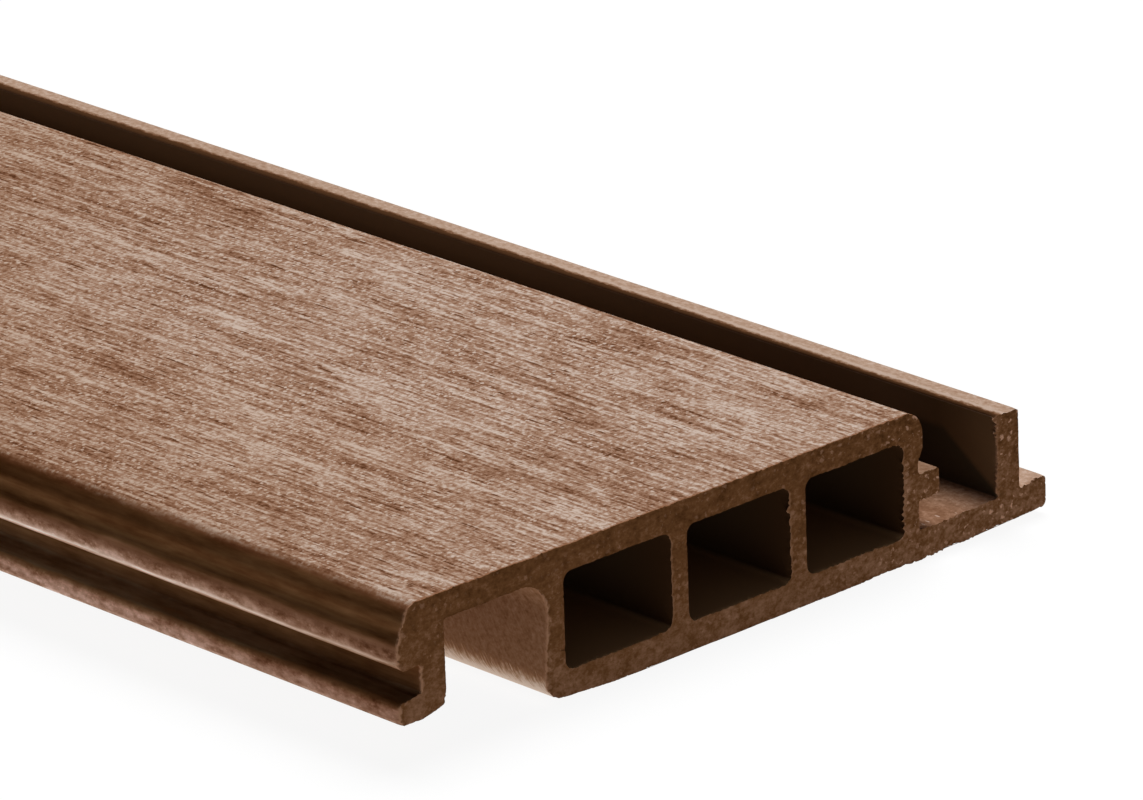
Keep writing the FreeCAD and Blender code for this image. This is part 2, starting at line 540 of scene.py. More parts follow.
# painted light on the heel, standing in for light from the floor below
HEEL_LIT_TONE = linear(255, 230, 210)
SAWN_TONES = (
    (0.22, linear(82, 50, 24)), (0.50, linear(119, 79, 48)), (0.80, linear(160, 118, 90)),
)
FIBRE_TONE = linear(226, 176, 146)
# Pale burrs along the saw edge, partly a painted highlight where they catch the light.
SAW_LINE_BURR_AND_HIGHLIGHT_TONE = linear(184, 138, 108)

ROUGHNESS = 0.9
HAIR_SLANT = math.radians(-52)    # of the hairs on the recess's wall

# Finishing sizes of the brushed face and the saw cut
BRUSH_DEPTH = 0.07 * MM
GROOVE_WIDTH = 2.2 * MM
GROOVE_LENGTH = 26.0 * MM
SCRATCH_WIDTH = 1.6 * MM
SCRATCH_LENGTH = 9.0 * MM
WAVINESS = 0.06 * MM
TOOTH_SIZE = 0.8 * MM             # period of the small teeth round a saw cut
TOOTH_DEPTH = 0.8 * MM
CRUMB_SIZE = 3.5 * MM             # period of the larger crumbs
CRUMB_DEPTH = 0.5 * MM
BURR_REACH = 0.9 * MM             # where the saw left the stock, on faces towards -Y
HANGING_BURR = 0.35 * MM
SUNK_RIM = 0.25 * MM              # how far teeth sink the rim of a sawn end along the board
HANGING_SPANS = ((38.0 * MM, 46.3 * MM), (49.0 * MM, 54.8 * MM))   # under the flange, by width
TORN_SPOTS = (                    # single burrs, and chips below 0: width, height, reach
    (59.1 * MM, 18.1 * MM, 0.8 * MM), (59.1 * MM, 9.3 * MM, 0.45 * MM), (59.1 * MM, 7.3 * MM, 0.5 * MM),
    (37.9 * MM, 8.4 * MM, 0.8 * MM), (37.9 * MM, 19.2 * MM, -0.45 * MM), (37.6 * MM, 5.6 * MM, -0.3 * MM),
    (12.6 * MM, 17.5 * MM, 0.5 * MM), (-60.3 * MM, 8.3 * MM, -0.35 * MM),
)


def finishing_nodes(skin, inner_skin, sawn_end):
    """Geometry nodes that brush the wear face, ripple the sides and leave burrs at the saw cuts."""
    group = bpy.data.node_groups.new("board_finishing", "GeometryNodeTree")
    face = group.interface
    face.new_socket("Geometry", in_out="INPUT", socket_type="NodeSocketGeometry")
    sizes = (
        ("Brush Depth", BRUSH_DEPTH), ("Groove Width", GROOVE_WIDTH), ("Groove Length", GROOVE_LENGTH),
        ("Scratch Width", SCRATCH_WIDTH), ("Scratch Length", SCRATCH_LENGTH), ("Waviness", WAVINESS),
        ("Tooth Size", TOOTH_SIZE), ("Tooth Depth", TOOTH_DEPTH), ("Crumb Size", CRUMB_SIZE),
        ("Crumb Depth", CRUMB_DEPTH), ("Burr Reach", BURR_REACH), ("Hanging Burr", HANGING_BURR),
    )
    box = (("Low Corner", tuple(cad_low)), ("High Corner", tuple(cad_high)))
    for name, _ in sizes:
        face.new_socket(name, in_out="INPUT", socket_type="NodeSocketFloat")
    for name, _ in box:
        face.new_socket(name, in_out="INPUT", socket_type="NodeSocketVector")
    face.new_socket("Geometry", in_out="OUTPUT", socket_type="NodeSocketGeometry")
    tree = Tree(group)
    given = tree.node("NodeGroupInput").outputs
    place = tree.node("GeometryNodeInputPosition").outputs[0]

    def named(name, kind="FLOAT"):
        made = tree.node("GeometryNodeInputNamedAttribute", {"data_type": kind}, Name=name)
        return made.outputs["Attribute"]

    def size(x, y, z):
        return tree.node("ShaderNodeCombineXYZ", X=x, Y=y, Z=z).outputs[0]

    brushed, sawn, away = named("brushed"), named("sawn"), named("outward", "FLOAT_VECTOR")

    groove = tree.noise(place, size(given["Groove Length"], given["Groove Width"], 1.0), 2.0, 0.55)
    groove = tree.ramp(groove, 0.36, 0.64)
    scratch = tree.noise(place, size(given["Scratch Length"], given["Scratch Width"], 1.0), 1.0, 0.5)
    scratch = tree.ramp(scratch, 0.42, 0.68)
    worn = tree.math("MULTIPLY_ADD", groove, 0.55, tree.math("MULTIPLY", scratch, 0.45))
    depth = tree.math("MULTIPLY", tree.math("MULTIPLY", worn, given["Brush Depth"]), brushed)

    ripple = tree.noise(place, size(14 * MM, 3 * MM, 3 * MM), 2.0, 0.5)
    ripple = tree.math("MULTIPLY", tree.math("SUBTRACT", ripple, 0.62), given["Waviness"])
    ripple = tree.math("MULTIPLY", ripple, tree.math("SUBTRACT", 1.0, brushed))

    parts = tree.node("ShaderNodeSeparateXYZ", Vector=away).outputs
    spot = tree.node("ShaderNodeSeparateXYZ", Vector=place).outputs
    rim = tree.math("POWER", sawn, 2.0)
    ragged = tree.ramp(spot["Y"], -10 * MM, 36 * MM, 0.0, 1.0)
    teeth = tree.noise(place, size(1.0, given["Tooth Size"], given["Tooth Size"]), 3.0, 0.75)
    crumbs = tree.noise(place, size(1.0, given["Crumb Size"], given["Crumb Size"]), 1.0, 0.5, 5.3)
    rough = tree.math("MULTIPLY", tree.math("SUBTRACT", teeth, 0.53), given["Tooth Depth"])
    rough = tree.math("MULTIPLY_ADD", tree.math("SUBTRACT", crumbs, 0.53), given["Crumb Depth"], rough)
    rough = tree.math("MULTIPLY", rough, tree.math("MULTIPLY_ADD", ragged, 0.35, 0.75))
    rough = tree.math("MULTIPLY", rough, tree.ramp(parts["Y"], 0.2, 0.9, 1.0, 0.35))

    exit_side = tree.math("MAXIMUM", tree.math("MULTIPLY", parts["Y"], -1.0), 0.0)
    clusters = tree.ramp(tree.noise(place, size(1.0, 5 * MM, 5 * MM), 1.0, 0.5, 8.7), 0.42, 0.58, 0.25, 1.0)
    spikes = tree.math("MULTIPLY", tree.ramp(teeth, 0.45, 0.7), clusters)
    burr = tree.math("MULTIPLY", tree.math("MULTIPLY", exit_side, ragged), given["Burr Reach"])
    burr = tree.math("MULTIPLY_ADD", burr, spikes, rough)
    under = tree.math("MAXIMUM", tree.math("MULTIPLY", parts["Z"], -1.0), 0.0)
    under = tree.math("MULTIPLY", under, given["Hanging Burr"])
    under = tree.math("MULTIPLY", under, tree.ramp(teeth, 0.3, 0.6, 0.3, 1.0))
    for start, stop in HANGING_SPANS:
        span = tree.band(spot["Y"], (start, start + 2 * MM), (stop, stop + 0.4 * MM))
        burr = tree.math("MULTIPLY_ADD", under, span, burr)
    section = tree.vector("MULTIPLY", place, (0.0, 1.0, 1.0))
    for width, height, reach in TORN_SPOTS:
        off = tree.vector("DISTANCE", section, (0.0, width, height))
        jagged = tree.ramp(teeth, 0.38, 0.62, 0.15, 1.2)
        torn = tree.math("MULTIPLY", tree.ramp(off, 0.3 * MM, 1.3 * MM, 1.0, 0.0), jagged)
        burr = tree.math("MULTIPLY_ADD", torn, reach, burr)
    burr = tree.math("MULTIPLY", burr, rim)
    end = tree.math("SIGN", spot["X"])
    sunk = tree.math("MULTIPLY", tree.math("MULTIPLY", tree.ramp(teeth, 0.5, 0.75), SUNK_RIM), rim)
    sunk = tree.math("MULTIPLY", tree.math("MULTIPLY", sunk, end), -1.0)
    back = tree.node("ShaderNodeCombineXYZ", X=sunk).outputs[0]

    sideways = tree.vector("SCALE", away, scale=tree.math("ADD", ripple, burr))
    down = tree.node("ShaderNodeCombineXYZ", Z=tree.math("MULTIPLY", depth, -1.0)).outputs[0]
    target = tree.vector("ADD", place, tree.vector("ADD", sideways, tree.vector("ADD", down, back)))
    target = tree.vector("MAXIMUM", tree.vector("MINIMUM", target, given["High Corner"]), given["Low Corner"])
    moved = tree.node("GeometryNodeSetPosition", Geometry=given["Geometry"], Position=target)
    edge = tree.math("MULTIPLY", exit_side, tree.math("POWER", sawn, 6.0))
    stored = tree.node(
        "GeometryNodeStoreNamedAttribute", {"data_type": "FLOAT", "domain": "POINT"},
        Geometry=moved.outputs[0], Name="saw_edge", Value=edge,
    )
    realized = tree.node("GeometryNodeRealizeInstances", Geometry=stored.outputs[0])
    sides = tree.node("GeometryNodeSetMaterial", Geometry=realized.outputs[0], Material=skin)
    cap, chamber = named("cap", "BOOLEAN"), named("chamber", "BOOLEAN")
    inner = tree.node(
        "GeometryNodeSetMaterial", Geometry=sides.outputs[0], Selection=chamber, Material=inner_skin,
    )
    ends = tree.node(
        "GeometryNodeSetMaterial", Geometry=inner.outputs[0], Selection=cap, Material=sawn_end,
    )
    tree.node("NodeGroupOutput", Geometry=ends.outputs[0])
    return group, dict(sizes + box)


def finished(piece, group, sizes):
    """The piece with its finishing nodes worked into a plain mesh."""
    modifier = piece.modifiers.new("finishing", "NODES")
    modifier.node_group = group
    for item in group.interface.items_tree:
        if item.in_out == "INPUT" and item.name in sizes:
            modifier[item.identifier] = sizes[item.name]
    evaluated = piece.evaluated_get(bpy.context.evaluated_depsgraph_get())
    mesh = bpy.data.meshes.new_from_object(evaluated)
    piece.modifiers.remove(modifier)
    raw, piece.data = piece.data, mesh
    bpy.data.meshes.remove(raw)
    for name in ("outward", "cap", "chamber", "brushed", "sawn"):
        if name in mesh.attributes:
            mesh.attributes.remove(mesh.attributes[name])
    mesh.shade_smooth()
    mesh.set_sharp_from_angle(angle=math.radians(38))
    return piece


def surface(name):
    """A new dull material's tree, its Principled shader and its Object coordinates."""
    material = bpy.data.materials.new(name)
    material.use_nodes = True
    tree = Tree(material.node_tree)
    shader = material.node_tree.nodes["Principled BSDF"]
    shader.inputs["Roughness"].default_value = ROUGHNESS
    shader.inputs["Specular IOR Level"].default_value = 0.0
    place = tree.node("ShaderNodeTexCoord").outputs["Object"]
    return material, tree, shader, place


def spot_and_end(tree, place):
    """The place's X, Y and Z, and its distance from the nearer sawn end."""
    spot = tree.node("ShaderNodeSeparateXYZ", Vector=place).outputs
    return spot, tree.math("SUBTRACT", cad_high.x, tree.math("ABSOLUTE", spot["X"]))


def brushed_face(tree, place, spot, from_end):
    """Colour and relief of the wear face: cloudy, streaked lengthwise, with pale flecks and fine cuts."""
    band = tree.noise(place, (75 * MM, 8 * MM, 1.0), 1.0, 0.5)
    cloud = tree.noise(place, (14 * MM, 5 * MM, 1.0), 2.0, 0.5, 4.9)
    streak = tree.noise(place, (28 * MM, 1.25 * MM, 1.0), 1.0, 0.5, 3.1)
    line = tree.noise(place, (32 * MM, 0.5 * MM, 1.0), 1.0, 0.5, 5.7)
    fine = tree.noise(place, (6 * MM, 0.6 * MM, 1.0), 2.0, 0.6, 8.3)
    grain = tree.noise(place, (0.85 * MM, 0.9 * MM, 1.0), 3.0, 0.7, 1.7)
    tone = tree.weighed(
        0.62, (band, 0.45), (cloud, 0.6), (streak, 0.75), (line, 0.65), (fine, 1.1), (grain, 1.6),
    )

    # Pale flecks of wood fibre, partly painted glints where the fibres would catch the light.
    flecks = tree.dashes(place, (1.6 * MM, 1.9 * MM), 0.12, 0.26, 0.9, 2.3)
    small = tree.dashes(place, (0.95 * MM, 1.15 * MM), 0.12, 0.3, 0.7, 6.1)
    flecks = tree.math("MAXIMUM", flecks, tree.math("MULTIPLY", small, 0.75))
    crowd = tree.ramp(tree.noise(place, (16 * MM, 6 * MM, 1.0), 2.0, 0.6, 4.1), 0.38, 0.6, 0.35, 1.0)
    crowd = tree.math("MULTIPLY", crowd, tree.ramp(from_end, 0.0, 90 * MM, 0.6, 1.3))
    flecks = tree.math("MULTIPLY", flecks, crowd)
    tone = tree.math("MULTIPLY_ADD", flecks, 0.75, tone)

    long_cuts = tree.dashes(place, (22 * MM, 1.8 * MM), 0.05, 0.16, 0.9, 5.9)
    short_cuts = tree.dashes(place, (8 * MM, 1.2 * MM), 0.05, 0.18, 0.85, 9.4)
    cuts = tree.math("MAXIMUM", tree.math("MULTIPLY", long_cuts, 0.85), short_cuts)
    worked = tree.ramp(tree.noise(place, (45 * MM, 9 * MM, 1.0), 2.0, 0.6, 7.1), 0.36, 0.6, 0.3, 1.0)
    cuts = tree.math("MULTIPLY", cuts, worked)
    tone = tree.math("SUBTRACT", tone, tree.math("MULTIPLY", cuts, 0.7))
    # painted shade: the wear face darker away from the sawn ends
    tint = tree.mix(tree.ramp(from_end, 70 * MM, 230 * MM), PLAIN_TINT, FAR_SHADE_TINT)
    across = tree.colours(tree.ramp(spot["Y"], -66 * MM, -6 * MM, smooth=False), HOOK_SIDE_TINTS)
    across = tree.mix(tree.ramp(from_end, 5 * MM, 60 * MM, 0.35, 1.0), PLAIN_TINT, across)
    tint = tree.vector("MULTIPLY", tint, across)
    colour = tree.vector("MULTIPLY", tree.colours(tone, WEAR_FACE_TONES), tint)

    relief = tree.math("MULTIPLY_ADD", fine, 0.4, tree.math("MULTIPLY", grain, 0.6))
    relief = tree.math("MULTIPLY_ADD", flecks, 0.4, relief)
    return colour, tree.math("SUBTRACT", relief, tree.math("MULTIPLY", cuts, 0.3))


def hooked_edge(tree, place, spot, from_end):
    """Colour of the edge towards -Y, in bands by height that partly paint its light and shade, blotchy and
    flecked on its bulge and its lip.
    """
    wander = tree.noise(place, (14 * MM, 3 * MM, 3 * MM), 3.0, 0.6, 7.7)
    height = tree.math("MULTIPLY_ADD", tree.math("SUBTRACT", wander, 0.5), 1.2 * MM, spot["Z"])
    share = tree.ramp(height, *HOOK_HEIGHTS, smooth=False)
    colour = tree.colours(share, HOOK_LIGHT_AND_SHADE_TONES)

    drawn = tree.noise(place, (40 * MM, 1.6 * MM, 0.9 * MM), 2.0, 0.6, 2.2)
    smudge = tree.noise(place, (9 * MM, 2.5 * MM, 1.7 * MM), 4.0, 0.6, 9.2)
    faint = tree.math("MULTIPLY_ADD", drawn, 0.35, tree.math("MULTIPLY", smudge, 0.65))
    faint = tree.ramp(faint, 0.3, 0.7, 0.5, 1.5, smooth=False)
    patch = tree.noise(place, (7 * MM, 3 * MM, 2.2 * MM), 2.0, 0.5, 5.2)
    blotch = tree.noise(place, (1.9 * MM, 1.3 * MM, 1.1 * MM), 4.0, 0.7, 4.4)
    blotch = tree.math("MULTIPLY_ADD", patch, 0.4, tree.math("MULTIPLY", blotch, 0.6))
    side = tree.node("ShaderNodeCombineXYZ", X=spot["X"], Y=spot["Z"]).outputs[0]
    flecks = tree.dashes(side, (1.5 * MM, 1.1 * MM), 0.14, 0.28, 0.8, 3.7)
    blotch = tree.ramp(blotch, 0.35, 0.65, 0.45, 1.65, smooth=False)
    blotch = tree.math("MULTIPLY_ADD", flecks, 0.3, blotch)
    over_bulge = tree.ramp(spot["Z"], 17.6 * MM, 19.2 * MM)
    plain = tree.math("MAXIMUM", over_bulge, tree.ramp(spot["Z"], 16.1 * MM, 16.9 * MM, 1.0, 0.0))
    plain = tree.math("MULTIPLY", plain, tree.ramp(spot["Z"], 9.0 * MM, 9.8 * MM))
    high = tree.ramp(spot["Z"], 21.8 * MM, 23.0 * MM)
    # painted shade: the brow darker farther from the sawn end, as on the wear face
    far_brow = tree.math("MULTIPLY", tree.ramp(from_end, 20 * MM, 90 * MM), high)
    colour = tree.scaled(colour, tree.ramp(far_brow, 0.0, 1.0, 1.0, 0.72, smooth=False))
    # painted light and shade: below the bulge the edge is darker beside the sawn end and lighter farther in
    beside = tree.ramp(spot["Z"], 10 * MM, 13 * MM, 0.66, 0.78)
    farther = tree.ramp(spot["Z"], 10 * MM, 13 * MM, 1.08, 1.16)
    painted_light_along = tree.ramp(from_end, 0.0, 70 * MM, beside, farther)
    colour = tree.scaled(colour, tree.ramp(spot["Z"], 17.4 * MM, 18.4 * MM, painted_light_along, 1.0, smooth=False))
    return tree.scaled(colour, tree.ramp(plain, 0.0, 1.0, blotch, faint, smooth=False))


def inner_ledges(tree, place, spot, from_end):
    """Colour of the sides past the wear face: tongue, channel, upstand and flange, with painted light and
    shade in the channel and on the upstand.
    """
    drawn = tree.noise(place, (40 * MM, 2.2 * MM, 1.1 * MM), 2.0, 0.6, 2.2)
    speckle = tree.noise(place, (1.1 * MM, 0.9 * MM, 0.9 * MM), 4.0, 0.7, 4.4)
    mottle = tree.math("MULTIPLY_ADD", speckle, 0.8, tree.math("MULTIPLY", drawn, 0.2))
    colour = tree.colours(mottle, LEDGE_TONES)
    colour = tree.scaled(colour, tree.ramp(spot["Y"], 46.0 * MM, 46.6 * MM, 0.56, 1.0))
    high = tree.ramp(spot["Z"], 18.75 * MM, 19.0 * MM)
    fray = tree.math("SUBTRACT", tree.noise(place, (1.8 * MM, 0.8 * MM, 1.0), 4.0, 0.7, 6.6), 0.5)
    across = tree.math("MULTIPLY_ADD", fray, 2.0 * MM, spot["Y"])
    across = tree.math("SUBTRACT", across, UPSTAND_INNER_FACE)
    across = tree.math("SUBTRACT", across, tree.ramp(from_end, 0.0, 150 * MM, 0.0, 0.55 * MM))
    # painted highlight: a pale line along the top just past the rounded inner edge, fading away from the sawn
    # end
    crest = tree.band(across, (1.1 * MM, 1.4 * MM), (1.7 * MM, 2.4 * MM))
    crest = tree.math("MULTIPLY", crest, tree.ramp(from_end, 70 * MM, 170 * MM, 1.0, 0.0))
    colour = tree.mix(tree.math("MULTIPLY", high, crest), colour, CREST_HIGHLIGHT_TONE)
    # painted shade on the rounded inner edge, painted lighter farther from the sawn end
    farther = tree.ramp(from_end, 30 * MM, 200 * MM, 1.0, 1.8)
    edge = tree.scaled(UPSTAND_EDGE_SHADE_TONE[:3], tree.ramp(spot["Z"], 19.0 * MM, 19.2 * MM, farther, 1.0))
    top = tree.blend(tree.ramp(across, 0.35 * MM, 1.6 * MM), edge, colour, EDGE_POWERS)
    colour = tree.mix(high, colour, top)

    low = tree.ramp(spot["Z"], 9.0 * MM, 10.0 * MM, 1.0, 0.0)
    floor = tree.math("MULTIPLY", tree.ramp(spot["Y"], 59.0 * MM, 59.4 * MM, 1.0, 0.0), low)
    nicks = tree.dashes(place, (7 * MM, 2.0 * MM), 0.08, 0.14, 0.5, 1.3)
    channel = tree.mix(tree.math("MULTIPLY", nicks, 0.6), tree.colours(speckle, CHANNEL_TONES), BURR_TONE)
    tint = tree.mix(tree.ramp(from_end, 3 * MM, 20 * MM), PLAIN_TINT, SHADED_TINT)
    channel = tree.vector("MULTIPLY", channel, tint)
    # painted light: the channel's floor lighter from 49 mm to 52 mm across
    channel = tree.scaled(channel, tree.ramp(spot["Y"], 49 * MM, 52 * MM, 1.0, 1.25))
    colour = tree.mix(floor, colour, channel)

    off_wall = tree.math("ABSOLUTE", tree.math("SUBTRACT", spot["Y"], UPSTAND_INNER_FACE))
    on_wall = tree.ramp(off_wall, 0.1 * MM, 0.4 * MM, 1.0, 0.0)
    on_wall = tree.math("MULTIPLY", on_wall, tree.math("SUBTRACT", 1.0, high))
    # painted shadow of the nose below a line rising from the sawn end, with painted light above it towards
    # the top and farther in
    shade = tree.math("MINIMUM", tree.math("MULTIPLY_ADD", from_end, 0.7, 6.0 * MM), 14.5 * MM)
    lit = tree.ramp(tree.math("SUBTRACT", spot["Z"], shade), -0.8 * MM, 0.8 * MM)
    far_wall = tree.mix(tree.ramp(spot["Z"], 12.5 * MM, 18.5 * MM), LOW_WALL_TONE, HIGH_WALL_TONE)
    near_wall = tree.colours(tree.ramp(from_end, 0.0, 30 * MM, smooth=False), NEAR_WALL_TONES)
    wall = tree.mix(tree.ramp(from_end, 20 * MM, 150 * MM), near_wall, far_wall)
    return tree.mix(on_wall, colour, tree.mix(lit, NOSE_SHADOW_TONE, wall))


def recess_wall(tree, place, spot):
    """Colour of the wall behind the hooked leg: dark, hairy on the slant, with a pale fringed heel of painted
    light from the floor below.
    """
    slanted = tree.node(
        "ShaderNodeVectorRotate", {"rotation_type": "Y_AXIS"}, Vector=place, Angle=HAIR_SLANT,
    )
    hairs = tree.noise(slanted.outputs[0], (2.4 * MM, 2 * MM, 0.4 * MM), 3.0, 0.6, 3.9)
    fleck = tree.noise(place, (0.9 * MM, 0.9 * MM, 0.7 * MM), 3.0, 0.65, 8.8)
    tone = tree.math("MULTIPLY_ADD", hairs, 0.35, tree.math("MULTIPLY", fleck, 0.65))
    colour = tree.colours(tone, RECESS_TONES)
    # painted light: a pale fringed band at the heel
    fringe = tree.math("MULTIPLY_ADD", tree.math("SUBTRACT", hairs, 0.5), 5.0 * MM, spot["Z"])
    fringe = tree.math("MULTIPLY_ADD", tree.math("SUBTRACT", fleck, 0.5), 2.0 * MM, fringe)
    return tree.blend(tree.ramp(fringe, 2.2 * MM, 5.4 * MM, 1.0, 0.0), colour, HEEL_LIT_TONE, EDGE_POWERS)


def composite_skin():
    """Outer skin: pale and brushed on the wear face, smooth and browner elsewhere."""
    material, tree, shader, place = surface("composite_skin")
    spot, from_end = spot_and_end(tree, place)
    pale, relief = brushed_face(tree, place, spot, from_end)

    drawn = tree.noise(place, (40 * MM, 2.2 * MM, 1.1 * MM), 2.0, 0.6, 2.2)
    plain = tree.colours(drawn, EXTRUDED_TONES)
    ledges = inner_ledges(tree, place, spot, from_end)
    plain = tree.mix(tree.ramp(spot["Y"], 41.0 * MM, 41.2 * MM), plain, ledges)
    in_recess = tree.band(spot["Y"], (-42 * MM, -41 * MM), (-38.0 * MM, -37.4 * MM))
    plain = tree.mix(in_recess, plain, recess_wall(tree, place, spot))
    hook = tree.ramp(spot["Y"], -64.9 * MM, -65.3 * MM)
    plain = tree.mix(hook, plain, hooked_edge(tree, place, spot, from_end))

    fray = tree.math("SUBTRACT", tree.noise(place, (1.7 * MM, 0.9 * MM, 0.9 * MM), 4.0, 0.7, 6.6), 0.5)
    swing = tree.math("SUBTRACT", tree.noise(place, (17 * MM, 6 * MM, 6 * MM), 2.0, 0.5, 1.1), 0.5)
    brow = tree.math("MULTIPLY_ADD", fray, 1.5 * MM, tree.math("MULTIPLY_ADD", swing, 1.4 * MM, spot["Y"]))
    nose = tree.math("MULTIPLY_ADD", fray, 1.6 * MM, spot["Z"])
    past_nose = tree.ramp(nose, 23.2 * MM, 24.0 * MM)
    brushed = tree.math("MULTIPLY", tree.ramp(brow, -67.8 * MM, -65.7 * MM), past_nose)
    colour = tree.blend(brushed, plain, pale, BROW_POWERS)

    jitter = tree.noise(place, (0.8 * MM, 0.8 * MM, 0.8 * MM), 2.0, 0.6, 3.3)
    gap = tree.math("MULTIPLY_ADD", tree.math("SUBTRACT", jitter, 0.5), 1.0 * MM, from_end)
    rim = tree.math("MULTIPLY", tree.ramp(gap, 0.1 * MM, 0.6 * MM, 1.0, 0.0), brushed)
    colour = tree.mix(rim, colour, RIM_TONE)
    # the saw edge: pale burrs, partly a painted highlight
    burr = tree.node("ShaderNodeAttribute", {"attribute_name": "saw_edge"}).outputs["Fac"]
    burr = tree.math("MULTIPLY", burr, tree.ramp(jitter, 0.35, 0.6, 0.3, 1.0))
    colour = tree.mix(burr, colour, SAW_LINE_BURR_AND_HIGHLIGHT_TONE)
    tree.feed(shader.inputs["Base Color"], colour)

    relief = tree.math("MULTIPLY", relief, tree.math("MULTIPLY_ADD", brushed, 0.9, 0.1))
    bump = tree.node("ShaderNodeBump", Height=relief, Distance=0.06 * MM, Strength=0.6)
    tree.feed(shader.inputs["Normal"], bump.outputs[0])
    return material


def shaded_chamber_skin():
    """Walls of the chambers: smooth, with painted shade darkest at the mouth, and painted light deeper in and
    on their floors.
    """
    material, tree, shader, place = surface("shaded_chamber_skin")
    spot, from_end = spot_and_end(tree, place)
    # painted shade at the mouth, painted light deeper in and on the floor
    wall = tree.mix(tree.ramp(from_end, 0.0, 45 * MM), CHAMBER_MOUTH_SHADE_TONE, CHAMBER_DEPTH_LIGHT_TONE)
    above = tree.math("SUBTRACT", spot["Z"], CHAMBER_FLOOR)
    colour = tree.mix(tree.ramp(above, 0.05 * MM, 0.9 * MM), CHAMBER_FLOOR_LIGHT_TONE, wall)
    tree.feed(shader.inputs["Base Color"], colour)
    return material


def sawn_composite():
    """The sawn end: dark brown and cloudy, finely grained, with small pale specks of wood fibre."""
    material, tree, shader, place = surface("sawn_composite")
    spot = tree.node("ShaderNodeSeparateXYZ", Vector=place).outputs
    grain = tree.noise(place, (0.9 * MM, 1.1 * MM, 0.75 * MM), 3.0, 0.7, 0.4)
    cloud = tree.noise(place, (9 * MM, 3.6 * MM, 3.2 * MM), 2.0, 0.5, 2.7)
    low = tree.ramp(spot["Z"], 0.0, 22 * MM, 0.11, -0.07, smooth=False)
    leg = tree.ramp(spot["Y"], -66 * MM, -58 * MM, 0.05, 0.0)
    rough = tree.ramp(spot["Y"], 5 * MM, 45 * MM, 0.75, 1.0)
    tone = tree.weighed(0.5, (cloud, 0.45))
    tone = tree.math("MULTIPLY_ADD", tree.math("SUBTRACT", grain, 0.5), rough, tone)
    tone = tree.math("ADD", tone, tree.math("ADD", low, leg))
    brown = tree.colours(tone, SAWN_TONES)

    aside = tree.noise(place, (0.7 * MM, 0.7 * MM, 0.7 * MM), 2.0, 0.6, 1.9)
    above = tree.noise(place, (0.7 * MM, 0.7 * MM, 0.7 * MM), 2.0, 0.6, 7.7)
    flat = tree.node(
        "ShaderNodeCombineXYZ",
        X=tree.math("MULTIPLY_ADD", aside, 1.4 * MM, spot["Y"]),
        Y=tree.math("MULTIPLY_ADD", above, 1.4 * MM, spot["Z"]),
    ).outputs[0]
    specks = tree.dashes(flat, (2.1 * MM, 1.8 * MM), 0.1, 0.29, 0.7, 7.3)
    tiny = tree.dashes(flat, (1.1 * MM, 0.9 * MM), 0.1, 0.32, 0.6, 4.9)
    specks = tree.math("MULTIPLY", tree.math("MAXIMUM", specks, tree.math("MULTIPLY", tiny, 0.6)), 0.8)
    crowd = tree.ramp(tree.noise(place, (9 * MM, 4 * MM, 4 * MM), 1.0, 0.5, 6.3), 0.4, 0.6, 0.4, 1.0)
    crowd = tree.math("MULTIPLY", crowd, tree.ramp(spot["Y"], 14 * MM, 46 * MM, 0.25, 1.0))
    specks = tree.math("MULTIPLY", specks, crowd)
    colour = tree.mix(specks, brown, FIBRE_TONE)

    # the saw line: pale burrs, partly a painted highlight, stronger towards -Y where it is lit
    edge = tree.node("ShaderNodeAttribute", {"attribute_name": "saw_edge"}).outputs["Fac"]
    jitter = tree.noise(place, (1.0 * MM, 1.0 * MM, 1.0 * MM), 2.0, 0.6, 3.3)
    edge = tree.math("MULTIPLY_ADD", tree.math("SUBTRACT", jitter, 0.5), 0.9, edge)
    lit = tree.ramp(spot["Y"], -34 * MM, -26 * MM, 0.8, 0.3)
    edge = tree.math("MULTIPLY", tree.ramp(edge, 0.55, 0.95), lit)
    tree.feed(shader.inputs["Base Color"], tree.mix(edge, colour, SAW_LINE_BURR_AND_HIGHLIGHT_TONE))
    bump = tree.node("ShaderNodeBump", Height=grain, Distance=0.08 * MM, Strength=0.5)
    tree.feed(shader.inputs["Normal"], bump.outputs[0])
    return material


# Camera, fitted to the cut end and the long edges in the photograph
IMAGE_WIDTH = 1143
FOCAL_PIXELS = 9056.9
CAMERA_AT = (2039.33 * MM, -900.57 * MM, 533.10 * MM)
CAMERA_AZIMUTH = 47.259
CAMERA_ELEVATION = 20.764
CAMERA_ROLL = -2.021
SENSOR = 36.0


def set_camera():
    """The camera at the photograph's place and angle. Azimuth 0 looks along +Y, and 90 along -X."""
    data = bpy.data.cameras.new("camera")
    camera = bpy.data.objects.new("camera", data)
    bpy.context.scene.collection.objects.link(camera)
    data.sensor_fit, data.sensor_width = "HORIZONTAL", SENSOR
    data.lens = SENSOR * FOCAL_PIXELS / IMAGE_WIDTH
    data.clip_start, data.clip_end = 0.05, 200.0
    azimuth, elevation = math.radians(CAMERA_AZIMUTH), math.radians(CAMERA_ELEVATION)
    back = Vector((
        math.sin(azimuth) * math.cos(elevation),
        -math.cos(azimuth) * math.cos(elevation),
        math.sin(elevation),
    ))
    right = Vector((math.cos(azimuth), math.sin(azimuth), 0.0))
    up = back.cross(right)
    turn = Matrix.Rotation(math.radians(CAMERA_ROLL), 3, back)
    right, up = turn @ right, turn @ up
    camera.matrix_world = Matrix.LocRotScale(
        Vector(CAMERA_AT), Matrix((right, up, back)).transposed(), None
    )
    bpy.context.scene.camera = camera
    return camera


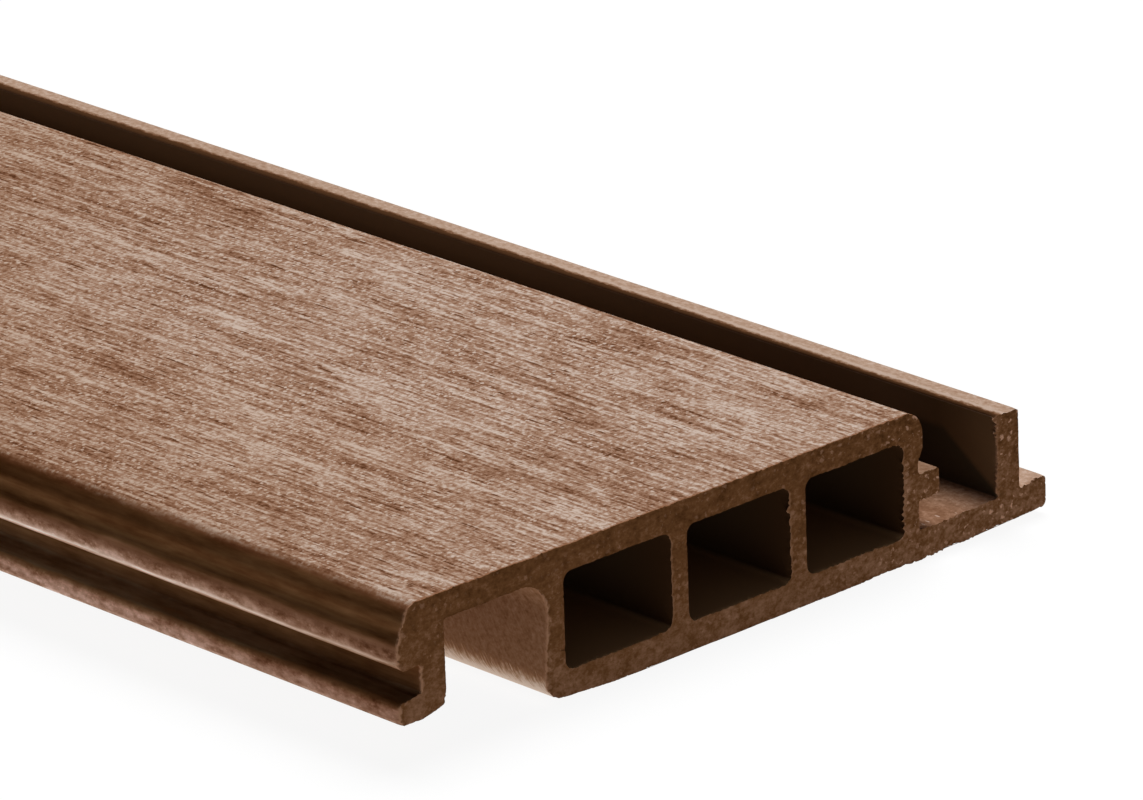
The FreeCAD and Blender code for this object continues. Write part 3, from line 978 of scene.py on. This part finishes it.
KEY_FROM = Vector((-0.25, 0.33, 0.91))    # towards the key lamp: high, behind and to the right
KEY_LEVEL = 3.15
KEY_SPREAD = math.radians(35)
WORLD_LEVEL = 0.07
FLOOR_TONE = 0.25
FLOOR_GLOW = 0.56
SHOWN_TONE = 0.10                 # the floor on the rays that show the background
SHOWN_GLOW = 0.91
FLOOR_SIDE = 60.0
FLOOR_DROP = 0.2 * MM


def lit_for_view(tree):
    """1 on rays that show the background itself, straight or in a gloss or through glass."""
    path = tree.node("ShaderNodeLightPath").outputs
    seen = tree.math("MAXIMUM", path["Is Camera Ray"], path["Is Glossy Ray"])
    return tree.math("MAXIMUM", seen, path["Is Transmission Ray"])


def set_stage():
    """A pale floor, a dim world that shows white, and one large soft lamp."""
    side = FLOOR_SIDE / 2
    mesh = bpy.data.meshes.new("floor")
    corners = [(-side, -side), (side, -side), (side, side), (-side, side)]
    level = cad_low.z - FLOOR_DROP
    mesh.from_pydata([(x, y, level) for x, y in corners], [], [(0, 1, 2, 3)])
    floor = bpy.data.objects.new("floor", mesh)
    bpy.context.scene.collection.objects.link(floor)
    material = bpy.data.materials.new("floor")
    material.use_nodes = True
    material.node_tree.nodes.clear()
    tree = Tree(material.node_tree)
    dull = tree.node("ShaderNodeBsdfDiffuse", Color=(FLOOR_TONE, FLOOR_TONE, FLOOR_TONE, 1)).outputs[0]
    glow = tree.node("ShaderNodeEmission", Color=(1, 1, 1, 1), Strength=FLOOR_GLOW).outputs[0]
    pale = tree.node("ShaderNodeBsdfDiffuse", Color=(SHOWN_TONE, SHOWN_TONE, SHOWN_TONE, 1)).outputs[0]
    white = tree.node("ShaderNodeEmission", Color=(1, 1, 1, 1), Strength=SHOWN_GLOW).outputs[0]
    table, shown = tree.node("ShaderNodeAddShader"), tree.node("ShaderNodeAddShader")
    for socket, part in zip(list(table.inputs) + list(shown.inputs), (dull, glow, pale, white)):
        tree.feed(socket, part)
    mixed = tree.node("ShaderNodeMixShader", Fac=lit_for_view(tree))
    tree.feed(mixed.inputs[1], table.outputs[0])
    tree.feed(mixed.inputs[2], shown.outputs[0])
    tree.node("ShaderNodeOutputMaterial", Surface=mixed.outputs[0])
    mesh.materials.append(material)

    world = bpy.data.worlds.new("studio")
    bpy.context.scene.world = world
    world.use_nodes = True
    tree = Tree(world.node_tree)
    background = world.node_tree.nodes["Background"]
    background.inputs["Color"].default_value = (1, 1, 1, 1)
    level = tree.ramp(lit_for_view(tree), 0.0, 1.0, WORLD_LEVEL, 1.0, smooth=False)
    tree.feed(background.inputs["Strength"], level)

    key = bpy.data.lights.new("key", "SUN")
    key.energy, key.angle = KEY_LEVEL, KEY_SPREAD
    lamp = bpy.data.objects.new("key", key)
    lamp.rotation_mode = "QUATERNION"
    lamp.rotation_quaternion = KEY_FROM.to_track_quat("Z", "Y")
    bpy.context.scene.collection.objects.link(lamp)


set_camera()
board = stock_object(board_stock())
finished(board, *finishing_nodes(composite_skin(), shaded_chamber_skin(), sawn_composite()))
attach(board, "root")
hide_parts(BOARD)
set_stage()
bpy.context.scene.view_settings.view_transform = "Standard"

print("board triangles", sum(len(p.vertices) - 2 for p in board.data.polygons))
